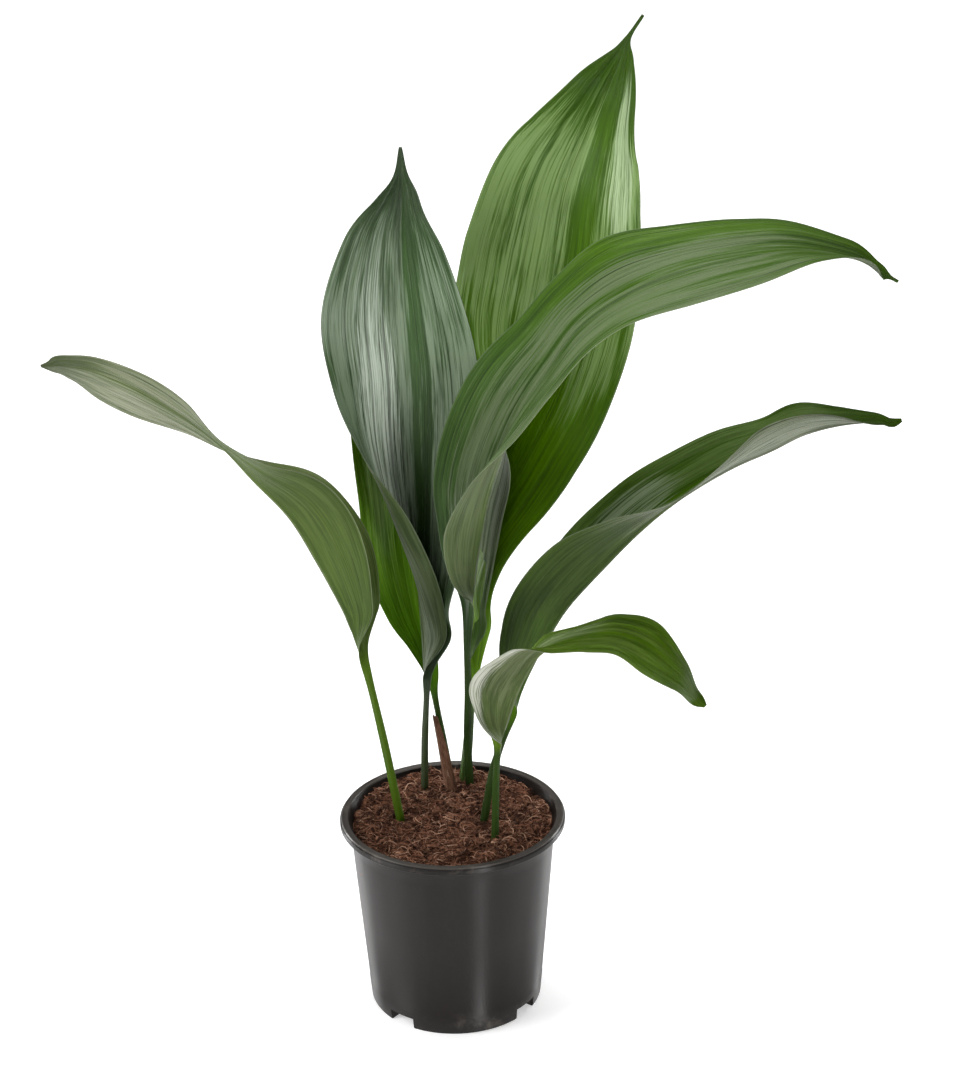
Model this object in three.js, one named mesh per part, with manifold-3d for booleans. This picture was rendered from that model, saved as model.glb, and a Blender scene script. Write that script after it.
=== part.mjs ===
// A cast iron plant (aspidistra) in a round plastic nursery pot. Millimetres, +Z up, front towards -Y.
// The origin is the middle of the pot's base, which stands flat on the ground.
import * as THREE from 'three';
import { mergeVertices } from 'three/addons/utils/BufferGeometryUtils.js';
import Module from 'manifold-3d';

const wasm = await Module();
wasm.setup();

// Pot: a 14 cm nursery pot, 127 mm tall, tapering to the base, with a flat rolled rim.
const POT_HEIGHT = 127;
const RIM_RADIUS = 70;
const RIM_INNER_RADIUS = 64.6;
const RIM_LIP = 5;
const WALL_RADIUS_TOP = 63.8;
const WALL_RADIUS_BASE = 54;
const WALL = 1.4;
const FLOOR = 1.6;
const POT_SIDES = 64;

// Four drainage notches round the foot, each with a hole through the step above it.
const NOTCH_WIDTH = 18;
const NOTCH_HEIGHT = 7.5;
const NOTCH_DEPTH = 11;
const NOTCH_TURNS = [-129, -36, 54, 144];
const DRAIN_RADIUS = 3;

// Potting soil: coir fibre, filling the pot to a few millimetres under its rim.
const GAP = 0.35;
const SOIL_LEVEL = 120;
const SOIL_RINGS = 9;
const SOIL_SIDES = 40;
const SOIL_ROUGHNESS = 1.1;
const SOIL_BACK_RISE = 5;

// Leaves: how far the stalks go down into the soil, and how finely a leaf is divided.
const ROOT_DEPTH = 26;
const ROWS = 32;
const HALF_COLUMNS = 5;
const SKIN = 0.36;
const STALK_CORE = 2.3;
const TIP_CORE = 0.5;
const PLEAT = 0.35;
const FULL_BLADE = 14;
const SHEATH_WALL = 0.8;
const SHEATH_COLUMNS = 8;
const SHEATH_ROWS = 9;

// Each leaf is a row of stations from the soil to the tip:
// [x, y, z of the midrib, half width, left half's turn, its curl, right half's turn, its curl].
// A turn of 0 lays that half out sideways, facing the front; a turn of 90 brings it straight forwards.
// The curl is how much the half goes on turning from the midrib to the margin. Angles are degrees.
const LEAVES = [
  {
    name: 'leaf_left_arching',
    colour: 0x4f6a38,
    wave: [1.6, 4.5, 0.2],
    hole: 3.2,
    stations: [
      [-32, 2, 118, 2.6, 0, 0, 0, 0],
      [-41, 6, 172, 2.5, 0, 0, 0, 0],
      [-49, 10, 213, 2.4, 0, 0, 0, 0],
      [-54, 13, 234, 5, 80, 0, 0, 0],
      [-59, 15, 248, 16, 145, 0, 0, 0],
      [-64, 18, 260, 25, 155, 0, -10, 0],
      [-78, 24, 287, 36, 158, 0, -30, 0],
      [-94, 30, 314, 37, 157, 0, -45, 0],
      [-115, 36, 336, 36, 130, 0, -80, 0],
      [-134, 42, 356, 35, 114, 0, -113, 0],
      [-156, 48, 372, 33, 122, 0, -125, 0],
      [-183, 53, 388, 30, 129, 0, -138, 0],
      [-209, 57, 399, 24, 135, 0, -145, 0],
      [-227, 59, 403, 14, 135, 0, -145, 0],
      [-236, 60, 403, 6, 135, 0, -145, 0],
      [-242, 60, 403, 1.2, 135, 0, -145, 0],
    ],
  },
  {
    name: 'leaf_upright_front',
    colour: 0x36553a,
    wave: [0.8, 3.5, 0.1],
    hole: 3.1,
    stations: [
      [-18, 41, 118, 2.4, 0, 0, 0, 0],
      [-17, 40, 157, 2.2, 0, 0, 0, 0],
      [-15, 41, 192, 2.1, 10, 0, 10, 0],
      [-15, 42, 207, 6, 85, 0, 30, 0],
      [-16, 43, 227, 19, 132, 40, 28, 0],
      [-17, 44, 250, 26, 130, 100, 50, 0],
      [-18, 45, 278, 33, 114, 140, 43, 0],
      [-19, 46, 318, 43, 82, 170, 44, 20],
      [-20, 47, 357, 49, 44, 120, 30, 20],
      [-20, 48, 394, 50, 17, 55, 33, 30],
      [-22, 49, 437, 50, 5, 25, 42, 20],
      [-23, 50, 479, 35, 10, 10, 44, 0],
      [-22, 51, 503, 17, 15, 0, 45, 0],
      [-22, 52, 517, 5, 10, 0, 20, 0],
      [-22, 53, 534, 0.9, 0, 0, 0, 0],
    ],
  },
  {
    name: 'leaf_short_rear',
    colour: 0x4d7a1c,
    wave: [1.2, 3, 0.4],
    hole: 6.1,
    stations: [
      [1, 36, 118, 2.2, 0, 0, 0, 0],
      [-5, 42, 154, 2.1, 0, 0, 0, 0],
      [-10, 48, 183, 2, 0, 0, 0, 0],
      [-12, 51, 200, 5, 20, 0, 20, 0],
      [-17, 55, 218, 10, 20, 0, 20, 0],
      [-23, 62, 237, 17, 15, 0, 15, 0],
      [-28, 66, 269, 23.5, 10, 0, 15, 0],
      [-31, 70, 307, 24, 10, 20, 10, 20],
      [-34, 72, 341, 24, 10, 20, 10, 20],
      [-35, 74, 381, 24, 10, 20, 10, 20],
      [-36, 75, 416, 17, 10, 0, 10, 0],
      [-35, 76, 444, 8, 10, 0, 10, 0],
      [-35, 76, 464, 0.9, 0, 0, 0, 0],
    ],
  },
  {
    name: 'leaf_tall_rear',
    colour: 0x4f7d33,
    wave: [1.2, 4, 0.6],
    hole: 5.4,
    stations: [
      [8, 52, 118, 2.5, 0, 0, 0, 0],
      [11, 54, 149, 2.3, 0, 0, 0, 0],
      [13, 56, 177, 2.2, 0, 0, 0, 0],
      [14, 57, 198, 5, 60, 0, 20, 0],
      [12, 62, 221, 15, 130, 0, 21, -60],
      [12, 65, 243, 24, 119, 0, 50, -90],
      [15.5, 68, 268, 33, 109, 0, 59, -70],
      [23.5, 72, 307, 45, 100, 10, 48, -30],
      [40.5, 76, 347, 53, 84, 20, 43, -20],
      [55, 79, 385, 57, 38, 10, 39, 0],
      [66, 81, 426, 60, -2, 0, 38, 0],
      [73, 82, 463, 59, -4, 0, 42, 0],
      [79, 83, 500, 51, 0, 0, 42, 0],
      [89, 85, 530, 38, 5, 0, 42, 0],
      [99, 80, 558, 23, 10, 0, 42, 0],
      [107, 83, 577, 9, 0, 0, 30, 0],
      [111, 85, 588, 2, 0, 0, 10, 0],
      [120, 88, 601, 0.9, 0, 0, 0, 0],
    ],
  },
  {
    name: 'leaf_right_arching',
    colour: 0x46663a,
    wave: [1.8, 4.5, 0.3],
    hole: 3.3,
    stations: [
      [11, 42, 118, 2.6, 0, 0, 0, 0],
      [10, 36, 159, 2.4, 0, 0, 0, 0],
      [11, 30, 195, 2.3, 0, 0, 0, 0],
      [11, 25, 230, 2.2, 0, 0, 0, 0],
      [13, 20, 258, 5, 0, 0, 60, 0],
      [15, 18, 272, 12, -20, 0, 130, 0],
      [17, 12, 290, 20, -5, 0, 145, 0],
      [21, 4, 316, 28, -10, 0, 138, 0],
      [25, -2, 339, 34, -16, 0, 124, 0],
      [33, -8, 366, 38, -25, 0, 113, 0],
      [45, -13, 396, 41, -38, 0, 95, 0],
      [61, -17, 423, 43, -55, 0, 88, 0],
      [78, -20, 448, 44, -62, 0, 83, 0],
      [103, -22, 467, 44, -60, 0, 83, 0],
      [135, -22, 481, 43, -73, 0, 79, 0],
      [173, -20, 488, 40, -75, 0, 83, 0],
      [202, -16, 488, 34, -74, 0, 94, 0],
      [233, -10, 481, 20, -75, 0, 100, 0],
      [248, -5, 472, 8, -70, 0, 80, 0],
      [254, -3, 468, 1.8, -30, 0, 30, 0],
      [260, 0, 464, 0.9, 0, 0, 0, 0],
    ],
  },
  {
    name: 'leaf_right_folded',
    colour: 0x3f5e34,
    wave: [1.8, 4.5, 0.8],
    hole: 3.2,
    stations: [
      [19, -1, 118, 2.5, 0, 0, 0, 0],
      [26, -3, 159, 2.4, 0, 0, 0, 0],
      [36, -2, 189, 2.4, 0, 0, 30, 0],
      [42, -1, 209, 10, -40, 0, 120, 0],
      [49, -1, 226, 22, -60, 0, 150, 0],
      [58, -2, 244, 31, -60, 0, 161, 0],
      [71, -4, 267, 38, -60, 0, 162, 0],
      [91, -7, 292, 38, -53, 0, 158, 0],
      [114, -10, 318, 36, -56, 0, 134, 0],
      [137, -13, 339, 37, -68, 0, 114, 0],
      [165, -16, 358, 38, -72, 0, 118, 0],
      [189, -18, 370, 34, -74, 0, 131, 0],
      [207, -20, 380, 28, -72, 0, 133, 0],
      [227, -22, 386, 19, -80, 0, 130, 0],
      [247, -23, 388, 9, -70, 0, 100, 0],
      [255, -24, 387, 4, -50, 0, 80, 0],
      [262, -24, 389, 1, 0, 0, 0, 0],
    ],
  },
  {
    name: 'leaf_right_low',
    colour: 0x4a6f2c,
    wave: [1.2, 3.5, 0.5],
    hole: 3,
    stations: [
      [26, -24, 118, 2.3, 0, 0, 0, 0],
      [27, -27, 157, 2.1, 0, 0, 0, 0],
      [28, -33, 181, 2, 0, 0, 0, 0],
      [29, -36, 194, 4, -10, 0, 60, 0],
      [34, -40, 211, 19, -50, 0, 170, 0],
      [39, -44, 228, 28, -80, 0, 173, 0],
      [45, -49, 244, 26, -95, 0, 166, 0],
      [53, -55, 260, 22, -100, 0, 146, 0],
      [66, -60, 270, 20, -98, 0, 106, 0],
      [83, -64, 275, 25, -90, 0, 96, 0],
      [99, -67, 276, 25, -80, 0, 86, 0],
      [116, -70, 269, 23, -69, 0, 71, 0],
      [134, -73, 254, 13, -72, 0, 60, 0],
      [142, -75, 241, 6, -60, 0, 50, 0],
      [148, -76, 235, 1.2, 0, 0, 0, 0],
    ],
  },
];

// Sheaths: the scale leaves round two stalks. Each wraps its stalk from one turn to another,
// counted from +X round towards +Y, and reaches from the soil to a height.
const SHEATHS = [
  {
    name: 'sheath_dry',
    colour: 0x7d5b48,
    leaf: 'leaf_short_rear',
    height: [110, 172],
    inner: [4.6, 3.1],
    wrap: [100, 310],
  },
  {
    name: 'sheath_green',
    colour: 0x3f6a2a,
    leaf: 'leaf_tall_rear',
    height: [110, 156],
    inner: [4.1, 2.9],
    wrap: [90, 260],
  },
];

const FRONT = new THREE.Vector3(0, -1, 0);
const rad = THREE.MathUtils.degToRad;

// Solids from meshes and back, for the joins and cuts.
function toSolid(geometry) {
  const bare = geometry.clone();
  bare.deleteAttribute('normal');
  bare.deleteAttribute('uv');
  const merged = mergeVertices(bare, 1e-4);
  return new wasm.Manifold(new wasm.Mesh({
    numProp: 3,
    vertProperties: new Float32Array(merged.attributes.position.array),
    triVerts: new Uint32Array(merged.index.array),
  }));
}

function fromSolid(solid) {
  const mesh = solid.getMesh();
  const geometry = new THREE.BufferGeometry();
  geometry.setAttribute('position', new THREE.BufferAttribute(mesh.vertProperties, 3));
  geometry.setIndex(new THREE.BufferAttribute(mesh.triVerts, 1));
  geometry.computeVertexNormals();
  return geometry;
}

// A solid turned about Z from a closed profile of [radius, height] points.
function turned(profile, sides) {
  const points = profile.map(([radius, height]) => new THREE.Vector2(radius, height));
  const geometry = new THREE.LatheGeometry(points, sides);
  geometry.rotateX(Math.PI / 2);
  return toSolid(geometry);
}

// The wall's outer radius at a height.
function wallRadius(z) {
  return WALL_RADIUS_BASE + (WALL_RADIUS_TOP - WALL_RADIUS_BASE) * z / (POT_HEIGHT - RIM_LIP);
}

// The block that a drainage notch takes out of the foot, grown by a margin on all sides.
function notchBlock(turn, margin) {
  const width = NOTCH_WIDTH + 2 * margin;
  const height = NOTCH_HEIGHT + margin + 10;
  const depth = NOTCH_DEPTH + 10 + margin;
  const block = new THREE.BoxGeometry(depth, width, height);
  block.translate(WALL_RADIUS_BASE - NOTCH_DEPTH - margin + depth / 2, 0, NOTCH_HEIGHT + margin - height / 2);
  block.rotateZ(rad(turn));
  return toSolid(block);
}

function drainHole(turn) {
  const hole = new THREE.CylinderGeometry(DRAIN_RADIUS, DRAIN_RADIUS, 8, 12);
  hole.rotateX(Math.PI / 2);
  hole.translate(WALL_RADIUS_BASE - NOTCH_DEPTH / 2 - 1, 0, NOTCH_HEIGHT + WALL / 2);
  hole.rotateZ(rad(turn));
  return toSolid(hole);
}

// The pot: one moulding, with a rolled rim, a flat base and four notches in its foot.
function pot() {
  const lip = POT_HEIGHT - RIM_LIP;
  const outside = turned([
    [0, 0], [WALL_RADIUS_BASE - 1, 0], [WALL_RADIUS_BASE, 1],
    [wallRadius(lip), lip], [RIM_RADIUS - 0.4, lip], [RIM_RADIUS, lip + 0.4],
    [RIM_RADIUS, POT_HEIGHT - 1.8], [RIM_RADIUS - 0.6, POT_HEIGHT - 1.4],
    [RIM_RADIUS - 0.8, POT_HEIGHT - 0.4], [RIM_RADIUS - 1.4, POT_HEIGHT],
    [RIM_INNER_RADIUS + 0.5, POT_HEIGHT], [RIM_INNER_RADIUS, POT_HEIGHT - 0.5], [0, POT_HEIGHT - 0.5],
  ], POT_SIDES);
  let cavity = turned([
    [0, FLOOR], [wallRadius(FLOOR) - WALL, FLOOR],
    [wallRadius(lip - 1) - WALL, lip - 1], [RIM_INNER_RADIUS, POT_HEIGHT - 2.5],
    [RIM_INNER_RADIUS, POT_HEIGHT + 1], [0, POT_HEIGHT + 1],
  ], POT_SIDES);
  for (const turn of NOTCH_TURNS) cavity = cavity.subtract(notchBlock(turn, WALL));
  let shell = outside.subtract(cavity);
  for (const turn of NOTCH_TURNS) {
    shell = shell.subtract(notchBlock(turn, 0)).subtract(drainHole(turn));
  }
  return fromSolid(shell);
}

// The soil's surface: low mounds of fibre, a little lower at the wall and heaped towards the back.
function soilHeight(x, y) {
  const bumps = Math.sin(x * 0.31 + 1.3) * Math.cos(y * 0.27 - 0.4) + 0.6 * Math.sin(x * 0.53 - y * 0.47);
  const edge = Math.hypot(x, y) / WALL_RADIUS_TOP;
  const heap = SOIL_BACK_RISE * (Math.max(y, 0) / WALL_RADIUS_TOP) ** 2;
  return SOIL_LEVEL + SOIL_ROUGHNESS * bumps + heap - 1.5 * edge ** 4;
}

// The soil as one closed body: relief on top, the pot's inside taper round it, a flat bottom.
function soilBody() {
  const bottom = FLOOR + GAP;
  const radiusAt = (z) => wallRadius(z) - WALL - GAP - 0.1;
  const positions = [0, 0, soilHeight(0, 0)];
  for (let ring = 1; ring <= SOIL_RINGS; ring += 1) {
    for (let side = 0; side < SOIL_SIDES; side += 1) {
      const angle = 2 * Math.PI * side / SOIL_SIDES;
      const radius = radiusAt(SOIL_LEVEL - 4) * ring / SOIL_RINGS;
      const x = radius * Math.cos(angle);
      const y = radius * Math.sin(angle);
      positions.push(x, y, soilHeight(x, y));
    }
  }
  for (let side = 0; side < SOIL_SIDES; side += 1) {
    const angle = 2 * Math.PI * side / SOIL_SIDES;
    positions.push(radiusAt(bottom) * Math.cos(angle), radiusAt(bottom) * Math.sin(angle), bottom);
  }
  positions.push(0, 0, bottom);
  const index = [];
  const at = (ring, side) => 1 + (ring - 1) * SOIL_SIDES + side % SOIL_SIDES;
  const last = positions.length / 3 - 1;
  for (let side = 0; side < SOIL_SIDES; side += 1) {
    index.push(0, at(1, side), at(1, side + 1));
    for (let ring = 1; ring <= SOIL_RINGS; ring += 1) {
      index.push(at(ring, side), at(ring + 1, side), at(ring + 1, side + 1));
      index.push(at(ring, side), at(ring + 1, side + 1), at(ring, side + 1));
    }
    index.push(last, at(SOIL_RINGS + 1, side + 1), at(SOIL_RINGS + 1, side));
  }
  const geometry = new THREE.BufferGeometry();
  geometry.setAttribute('position', new THREE.Float32BufferAttribute(positions, 3));
  geometry.setIndex(index);
  return toSolid(geometry);
}

// A plain round hole in the soil along a stalk's foot.
function stalkHole(leaf) {
  const [lower, upper] = withRoot(leaf.stations);
  const foot = new THREE.Vector3(...lower);
  const along = new THREE.Vector3(...upper).sub(foot).normalize();
  const length = ROOT_DEPTH + 22;
  const hole = new THREE.CylinderGeometry(leaf.hole, leaf.hole, length, 12);
  hole.rotateX(Math.PI / 2);
  hole.translate(0, 0, length / 2 - GAP);
  hole.applyQuaternion(new THREE.Quaternion().setFromUnitVectors(new THREE.Vector3(0, 0, 1), along));
  hole.translate(foot.x, foot.y, foot.z);
  return toSolid(hole);
}

function soil() {
  let body = soilBody();
  for (const turn of NOTCH_TURNS) body = body.subtract(notchBlock(turn, WALL + GAP));
  for (const leaf of LEAVES) body = body.subtract(stalkHole(leaf));
  return fromSolid(body);
}

// The stations with one more in front, straight down the stalk's line into the soil.
function withRoot(stations) {
  const [x, y, z, ...section] = stations[0];
  const next = stations[1];
  const down = new THREE.Vector3(x - next[0], y - next[1], z - next[2]).setLength(ROOT_DEPTH);
  return [[x + down.x, y + down.y, z + down.z, ...section], ...stations];
}

// A smooth curve through the stations: all of a station's values at once, t from 0 to 1.
function stationAt(stations, t) {
  const gaps = stations.length - 1;
  const gap = Math.min(Math.floor(t * gaps), gaps - 1);
  const f = t * gaps - gap;
  const p1 = stations[gap];
  const p2 = stations[gap + 1];
  const p0 = stations[gap - 1] ?? p1.map((value, k) => 2 * value - p2[k]);
  const p3 = stations[gap + 2] ?? p2.map((value, k) => 2 * value - p1[k]);
  return p1.map((value, k) => value + 0.5 * f * (p2[k] - p0[k]
    + f * (2 * p0[k] - 5 * value + 4 * p2[k] - p3[k] + f * (3 * (value - p2[k]) + p3[k] - p0[k]))));
}

// Where the midrib is at t, with its own axes: along it, across it and towards the front.
function frameAt(stations, t) {
  const step = 1e-3;
  const before = new THREE.Vector3(...stationAt(stations, Math.max(t - step, 0)));
  const after = new THREE.Vector3(...stationAt(stations, Math.min(t + step, 1)));
  const along = after.sub(before).normalize();
  const front = FRONT.clone().addScaledVector(along, -FRONT.dot(along)).normalize();
  const across = new THREE.Vector3().crossVectors(along, front);
  return { centre: new THREE.Vector3(...stationAt(stations, t)), along, front, across };
}

// One cross-section of a leaf: its upper and its under side, from the left margin to the right.
function leafSection(leaf, stations, t) {
  const { centre, front, across } = frameAt(stations, t);
  const [, , , halfWidth, leftTurn, leftCurl, rightTurn, rightCurl] = stationAt(stations, t);
  const blade = Math.min(1, Math.max(0, (halfWidth - 3) / FULL_BLADE));
  const core = STALK_CORE + (TIP_CORE - STALK_CORE) * t;
  const [height, count, start] = leaf.wave;
  const upper = [];
  const under = [];
  for (let column = -HALF_COLUMNS; column <= HALF_COLUMNS; column += 1) {
    const side = column < 0 ? -1 : 1;
    const turn = rad(column < 0 ? leftTurn : rightTurn);
    const curl = rad(column < 0 ? leftCurl : rightCurl);
    const reach = Math.abs(column) / HALF_COLUMNS;
    let a = 0;
    let b = 0;
    for (let k = 0; k < Math.abs(column); k += 1) {
      const angle = turn + curl * ((k + 0.5) / HALF_COLUMNS - 0.5);
      a += side * Math.cos(angle) * halfWidth / HALF_COLUMNS;
      b += Math.sin(angle) * halfWidth / HALF_COLUMNS;
    }
    const angle = turn + curl * (reach - 0.5);
    let normal = new THREE.Vector2(-side * Math.sin(angle), Math.cos(angle));
    if (column === 0) {
      const left = rad(leftTurn - leftCurl / 2);
      const right = rad(rightTurn - rightCurl / 2);
      normal = new THREE.Vector2(Math.sin(left) - Math.sin(right), Math.cos(left) + Math.cos(right)).normalize();
    }
    const ripple = height * reach ** 2 * Math.sin(2 * Math.PI * (count * t + start) + side * 0.9);
    const rib = column === 0 || reach === 1 ? 0 : PLEAT * (column % 2 === 0 ? -1 : 1);
    const lift = blade * (ripple + rib);
    const bulge = (core - SKIN) * Math.exp(-((reach * halfWidth / core) ** 2));
    const round = Math.min(1, (core / halfWidth) ** 2);
    const place = (offset) => centre.clone()
      .addScaledVector(across, a + normal.x * offset)
      .addScaledVector(front, b + normal.y * offset);
    upper.push(place(lift + SKIN + bulge * round));
    under.push(place(lift - SKIN - bulge));
  }
  return { upper, under };
}

// A closed skin over a row of cross-sections, with both faces split the same way.
function loft(sections) {
  const width = sections[0].upper.length;
  const points = sections.flatMap(({ upper, under }) => [...upper, ...under]);
  const top = (row, column) => row * 2 * width + column;
  const low = (row, column) => top(row, column) + width;
  const index = [];
  for (let row = 0; row < sections.length - 1; row += 1) {
    for (let column = 0; column < width - 1; column += 1) {
      index.push(top(row, column), top(row, column + 1), top(row + 1, column + 1));
      index.push(top(row, column), top(row + 1, column + 1), top(row + 1, column));
      index.push(low(row, column), low(row + 1, column + 1), low(row, column + 1));
      index.push(low(row, column), low(row + 1, column), low(row + 1, column + 1));
    }
    const end = width - 1;
    index.push(low(row, 0), top(row, 0), top(row + 1, 0), low(row, 0), top(row + 1, 0), low(row + 1, 0));
    index.push(top(row, end), low(row, end), low(row + 1, end));
    index.push(top(row, end), low(row + 1, end), top(row + 1, end));
  }
  const last = sections.length - 1;
  for (let column = 0; column < width - 1; column += 1) {
    index.push(top(0, column), low(0, column), low(0, column + 1));
    index.push(top(0, column), low(0, column + 1), top(0, column + 1));
    index.push(top(last, column), low(last, column + 1), low(last, column));
    index.push(top(last, column), top(last, column + 1), low(last, column + 1));
  }
  const geometry = new THREE.BufferGeometry();
  geometry.setAttribute('position', new THREE.Float32BufferAttribute(points.flatMap((p) => p.toArray()), 3));
  geometry.setIndex(index);
  geometry.computeVertexNormals();
  return geometry;
}

// A leaf: stalk and blade in one, grown as one piece.
function leafGeometry(leaf) {
  const stations = withRoot(leaf.stations);
  const sections = [];
  for (let row = 0; row <= ROWS; row += 1) sections.push(leafSection(leaf, stations, row / ROWS));
  return loft(sections);
}

// The t at which a leaf's midrib passes a height on its way up the stalk.
function heightToT(stations, z) {
  let t = 0;
  while (stationAt(stations, t)[2] < z) t += 1e-3;
  return t;
}

// A sheath: a thin curled scale that stands round a stalk and narrows upwards.
function sheathGeometry(sheath) {
  const stations = withRoot(LEAVES.find(({ name }) => name === sheath.leaf).stations);
  const [low, high] = sheath.height.map((z) => heightToT(stations, z));
  const sections = [];
  for (let row = 0; row <= SHEATH_ROWS; row += 1) {
    const f = row / SHEATH_ROWS;
    const { centre, across, front } = frameAt(stations, low + (high - low) * f);
    const radius = sheath.inner[0] + (sheath.inner[1] - sheath.inner[0]) * f;
    const [from, to] = sheath.wrap.map(rad);
    const middle = (from + to) / 2;
    const spread = (to - from) / 2 * (1 - 0.5 * f ** 3);
    const ring = (r) => Array.from({ length: SHEATH_COLUMNS + 1 }, (_, k) => {
      const angle = middle + spread * (2 * k / SHEATH_COLUMNS - 1);
      return centre.clone()
        .addScaledVector(across, r * Math.cos(angle))
        .addScaledVector(front, -r * Math.sin(angle));
    });
    sections.push({ upper: ring(radius + SHEATH_WALL), under: ring(radius) });
  }
  return loft(sections);
}

function material(colour, roughness) {
  return new THREE.MeshStandardMaterial({ color: colour, roughness, metalness: 0 });
}

function piece(name, geometry, finish) {
  const mesh = new THREE.Mesh(geometry, finish);
  mesh.name = name;
  return mesh;
}

const plant = new THREE.Group();
plant.add(piece('pot', pot(), material(0x3b3a3a, 0.45)));
plant.add(piece('soil', soil(), material(0x5a3d2e, 0.95)));
for (const leaf of LEAVES) plant.add(piece(leaf.name, leafGeometry(leaf), material(leaf.colour, 0.4)));
for (const sheath of SHEATHS) plant.add(piece(sheath.name, sheathGeometry(sheath), material(sheath.colour, 0.8)));

export default plant;
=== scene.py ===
# A cast iron plant in a round nursery pot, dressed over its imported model. Metres, +Z up, front towards -Y.
import math
import bmesh
import bpy
import numpy as np
from mathutils import Matrix, Vector, noise


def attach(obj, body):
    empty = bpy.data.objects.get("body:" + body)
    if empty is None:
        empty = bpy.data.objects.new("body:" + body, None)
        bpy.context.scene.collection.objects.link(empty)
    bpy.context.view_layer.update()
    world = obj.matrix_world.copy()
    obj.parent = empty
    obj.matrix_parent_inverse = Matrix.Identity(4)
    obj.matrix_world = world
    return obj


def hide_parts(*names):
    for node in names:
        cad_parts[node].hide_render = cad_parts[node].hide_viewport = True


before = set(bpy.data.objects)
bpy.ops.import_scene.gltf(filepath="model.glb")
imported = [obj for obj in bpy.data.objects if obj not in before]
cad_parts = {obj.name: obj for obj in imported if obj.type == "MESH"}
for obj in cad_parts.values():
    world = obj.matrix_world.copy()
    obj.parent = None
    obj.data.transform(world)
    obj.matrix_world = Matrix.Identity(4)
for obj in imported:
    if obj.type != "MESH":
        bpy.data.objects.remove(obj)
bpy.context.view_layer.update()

# ---- The nursery pot ----
# One thin moulding of black polypropylene: a tapered wall, a flat rim with a small bead round its outer edge,
# a floor, and four drainage notches moulded up into the foot, each with a drain hole through its step.
POT_HEIGHT = 0.127
RIM_RADIUS = 0.070
RIM_INNER_RADIUS = 0.0646
RIM_LIP = 0.005
WALL_TOP = POT_HEIGHT - RIM_LIP
WALL_RADIUS_TOP = 0.0638
WALL_RADIUS_BASE = 0.054
FOOT_LINE = 0.0135
WALL = 0.0014
FLOOR = 0.0016
NOTCH_WIDTH = 0.018
NOTCH_HEIGHT = 0.0075
NOTCH_DEPTH = 0.011
NOTCH_TURNS = (-129, -36, 54, 144)
DRAIN_RADIUS = 0.003
DRAIN_INSET = 0.001
DRAIN_LENGTH = 0.008
DRAIN_SIDES = 24
POT_SIDES = 160
CUT_SPARE = 0.01
POT_CREASE = 38
DUST_AND_RIM_HIGHLIGHT = (0.17, 0.15, 0.13)


def wall_radius(z):
    return WALL_RADIUS_BASE + (WALL_RADIUS_TOP - WALL_RADIUS_BASE) * z / WALL_TOP


def placed(name, data):
    """A new object in the scene that holds the data."""
    made = bpy.data.objects.new(name, data)
    bpy.context.collection.objects.link(made)
    return made


def placed_shape(name, shape):
    """A finished bmesh as a mesh object in the scene."""
    mesh = bpy.data.meshes.new(name)
    shape.to_mesh(mesh)
    shape.free()
    return placed(name, mesh)


def turned(name, profile):
    """A closed body turned about Z from radius and height points that start and end on the axis."""
    shape = bmesh.new()
    angles = [2 * math.pi * k / POT_SIDES for k in range(POT_SIDES)]
    rings = []
    for radius, height in profile:
        around = angles if radius else [0.0]
        rings.append([shape.verts.new((radius * math.cos(a), radius * math.sin(a), height)) for a in around])
    for low, high in zip(rings, rings[1:]):
        for k in range(POT_SIDES):
            after = k + 1
            corners = low[k % len(low)], low[after % len(low)], high[after % len(high)], high[k % len(high)]
            shape.faces.new(list(dict.fromkeys(corners)))
    bmesh.ops.recalc_face_normals(shape, faces=shape.faces)
    return placed_shape(name, shape)


def notch_blocks(name, margin):
    """The four blocks that the drainage notches take out of the foot, grown by a margin."""
    shape = bmesh.new()
    size = (NOTCH_DEPTH + CUT_SPARE + margin, NOTCH_WIDTH + 2 * margin, NOTCH_HEIGHT + margin + CUT_SPARE)
    middle = (WALL_RADIUS_BASE - NOTCH_DEPTH - margin + size[0] / 2, 0, NOTCH_HEIGHT + margin - size[2] / 2)
    for turn in NOTCH_TURNS:
        around = Matrix.Rotation(math.radians(turn), 4, "Z")
        place = around @ Matrix.Translation(middle) @ Matrix.Diagonal((*size, 1))
        bmesh.ops.create_cube(shape, size=1, matrix=place)
    return placed_shape(name, shape)


def drain_rods(name):
    """The four upright rods that the drain holes take out of the notches' steps."""
    shape = bmesh.new()
    middle = (WALL_RADIUS_BASE - NOTCH_DEPTH / 2 - DRAIN_INSET, 0, NOTCH_HEIGHT + WALL / 2)
    for turn in NOTCH_TURNS:
        place = Matrix.Rotation(math.radians(turn), 4, "Z") @ Matrix.Translation(middle)
        bmesh.ops.create_cone(shape, cap_ends=True, segments=DRAIN_SIDES, radius1=DRAIN_RADIUS,
                              radius2=DRAIN_RADIUS, depth=DRAIN_LENGTH, matrix=place)
    return placed_shape(name, shape)


def plain_mesh(made, name):
    """What an object's modifiers make of it, as a mesh object of its own at the origin."""
    bpy.context.view_layer.update()
    mesh = bpy.data.meshes.new_from_object(made.evaluated_get(bpy.context.evaluated_depsgraph_get()))
    bpy.data.objects.remove(made)
    mesh.name = name
    return placed(name, mesh)


def take_out(body, tool):
    """The body with the tool's shape cut out of it; the tool is used up."""
    cut = body.modifiers.new("cut", "BOOLEAN")
    cut.operation = "DIFFERENCE"
    cut.solver = "EXACT"
    cut.object = tool
    finished = plain_mesh(body, body.name)
    bpy.data.objects.remove(tool)
    return finished


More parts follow.
